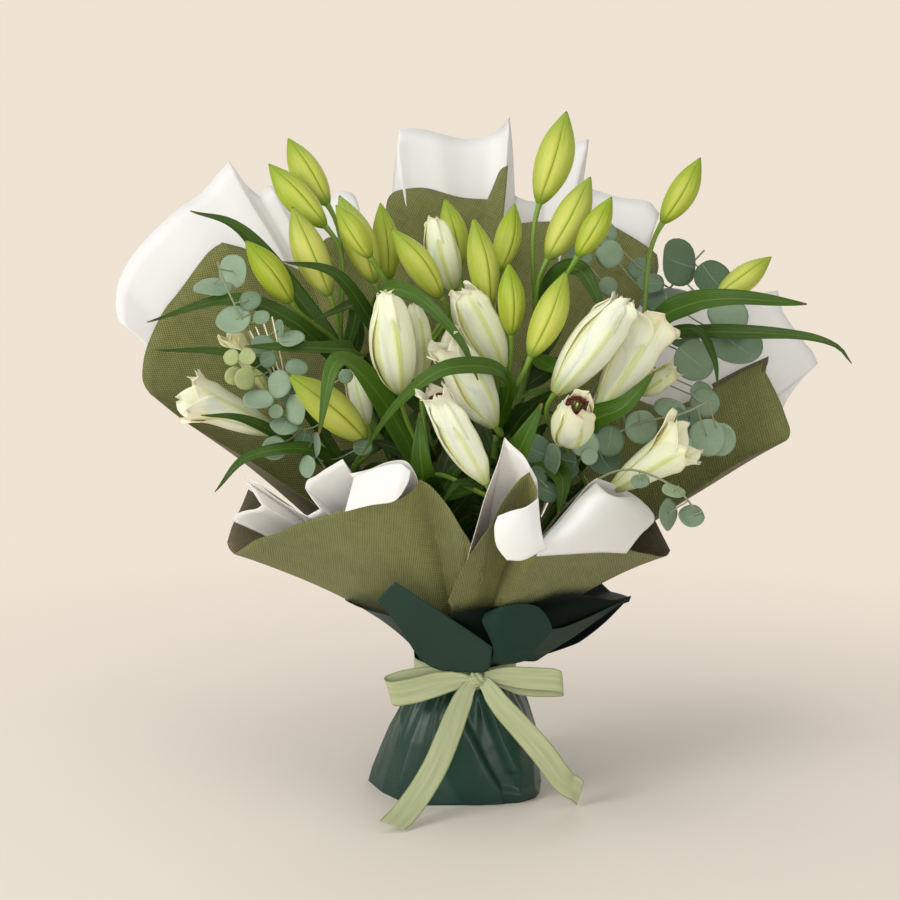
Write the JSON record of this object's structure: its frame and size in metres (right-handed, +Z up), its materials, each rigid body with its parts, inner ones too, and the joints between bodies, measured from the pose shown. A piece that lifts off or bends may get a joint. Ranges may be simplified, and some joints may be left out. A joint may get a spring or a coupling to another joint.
{
  "type": "lily bouquet",
  "caption": "Hand-tied bouquet of white lilies in bud with eucalyptus, in olive and white paper, standing in a dark green base wrap with a ribbon bow.",
  "frame": {"origin": "on the table, under the middle of the base wrap", "axes": "+Z up, -Y towards the front of the bouquet with the bow, +X to the viewer's right"},
  "size_m": [0.7053, 0.4087, 0.66],
  "materials": {
    "lily_bud_green": "soft satin, lime green with a paler body, dark tip",
    "lily_petal_white": "soft satin, cream white with yellow-green midribs",
    "lily_stem_and_leaf": "semi-gloss deep green",
    "eucalyptus_leaf": "matte waxy blue-green",
    "olive_linen_paper": "matte open linen weave, olive outside and taupe inside",
    "white_liner_paper": "smooth matte white non-woven paper",
    "dark_green_satin_wrap": "satin coated paper, dark green, creased",
    "sage_satin_ribbon": "satin, sage green, unprinted",
    "clear_pouch": "glossy clear film full of water gel",
    "raffia_tie": "matte raffia"
  },
  "bodies": {
    "root": {"base_wrap": "dark_green_satin_wrap", "cream_lily_01": "lily_petal_white", "cream_lily_02": "lily_petal_white", "cream_lily_03": "lily_petal_white", "cream_lily_04": "lily_petal_white", "cream_lily_05": "lily_petal_white", "cream_lily_06": "lily_petal_white", "eucalyptus_front": "eucalyptus_leaf", "eucalyptus_left": "eucalyptus_leaf", "eucalyptus_right_high": "eucalyptus_leaf", "eucalyptus_right_low": "eucalyptus_leaf", "lily_bud_01": "lily_bud_green", "lily_bud_02": "lily_bud_green", "lily_bud_03": "lily_bud_green", "lily_bud_04": "lily_bud_green", "lily_bud_05": "lily_bud_green", "lily_bud_06": "lily_bud_green", "lily_bud_07": "lily_bud_green", "lily_bud_08": "lily_bud_green", "lily_bud_09": "lily_bud_green", "lily_bud_10": "lily_bud_green", "lily_bud_11": "lily_bud_green", "lily_bud_12": "lily_bud_green", "lily_bud_13": "lily_bud_green", "lily_bud_14": "lily_bud_green", "lily_bud_15": "lily_bud_green", "lily_bud_16": "lily_bud_green", "lily_bud_17": "lily_bud_green", "lily_bud_18": "lily_bud_green", "lily_bud_19": "lily_bud_green", "lily_stem_back": "lily_stem_and_leaf", "lily_stem_centre": "lily_stem_and_leaf", "lily_stem_front": "lily_stem_and_leaf", "lily_stem_left_back": "lily_stem_and_leaf", "lily_stem_left_front": "lily_stem_and_leaf", "lily_stem_right": "lily_stem_and_leaf", "lily_stem_right_back": "lily_stem_and_leaf", "open_lily_01": "lily_petal_white", "open_lily_02": "lily_petal_white", "open_lily_03": "lily_petal_white", "open_lily_04": "lily_petal_white", "open_lily_05": "lily_petal_white", "ribbon_band": "sage_satin_ribbon", "ribbon_knot": "sage_satin_ribbon", "ribbon_loop_left": "sage_satin_ribbon", "ribbon_loop_right": "sage_satin_ribbon", "ribbon_tail_left": "sage_satin_ribbon", "ribbon_tail_right": "sage_satin_ribbon", "stem_tie": "raffia_tie", "water_pouch": "clear_pouch", "wrap_back_centre_olive": "olive_linen_paper", "wrap_back_centre_white": "white_liner_paper", "wrap_back_left_olive": "olive_linen_paper", "wrap_back_left_white": "white_liner_paper", "wrap_front_left_olive": "olive_linen_paper", "wrap_front_left_white": "white_liner_paper", "wrap_front_right_olive": "olive_linen_paper", "wrap_front_right_white": "white_liner_paper", "wrap_right_olive": "olive_linen_paper", "wrap_right_white": "white_liner_paper"}
  },
  "joints": []
}
